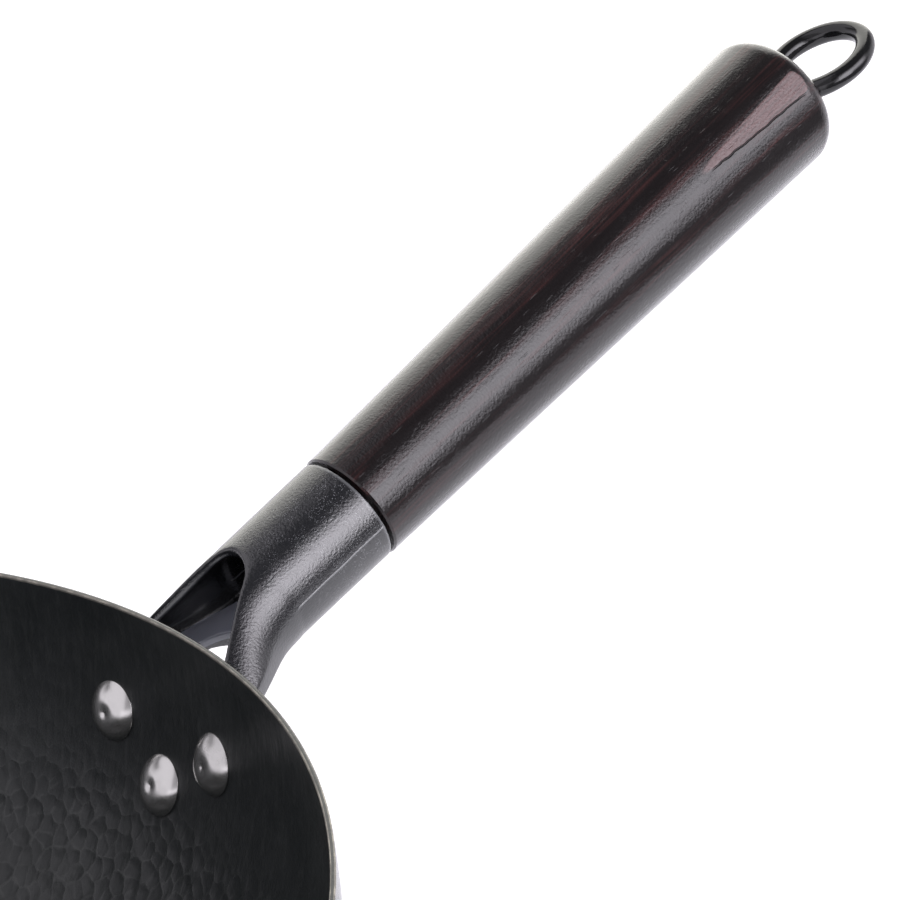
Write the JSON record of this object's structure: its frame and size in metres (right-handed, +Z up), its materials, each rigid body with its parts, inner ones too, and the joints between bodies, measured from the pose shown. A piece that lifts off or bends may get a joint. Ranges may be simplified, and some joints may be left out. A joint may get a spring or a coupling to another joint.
{
  "type": "wok",
  "caption": "Round flat-bottomed carbon steel wok with a riveted black steel bracket, a tapered dark wood grip and a wire hanging eye at the grip's end.",
  "frame": {"origin": "middle of the flat base's lower face", "axes": "+Z up out of the bowl, +X from the bowl's middle toward the handle"},
  "size_m": [0.5324, 0.32, 0.1635],
  "materials": {
    "bowl": "hammered black carbon steel, satin",
    "bracket": "fine-grained black coat, satin",
    "rivets": "polished",
    "grip": "dark stained and charred wood, glossy",
    "eye_rod": "glossy black",
    "tie_nut": "satin"
  },
  "bodies": {
    "root": {"bowl": "bowl", "bracket": "bracket", "rivet_left": "rivets", "rivet_right": "rivets", "rivet_lower": "rivets", "grip": "grip", "eye_rod": "eye_rod", "tie_nut": "tie_nut"}
  },
  "joints": []
}
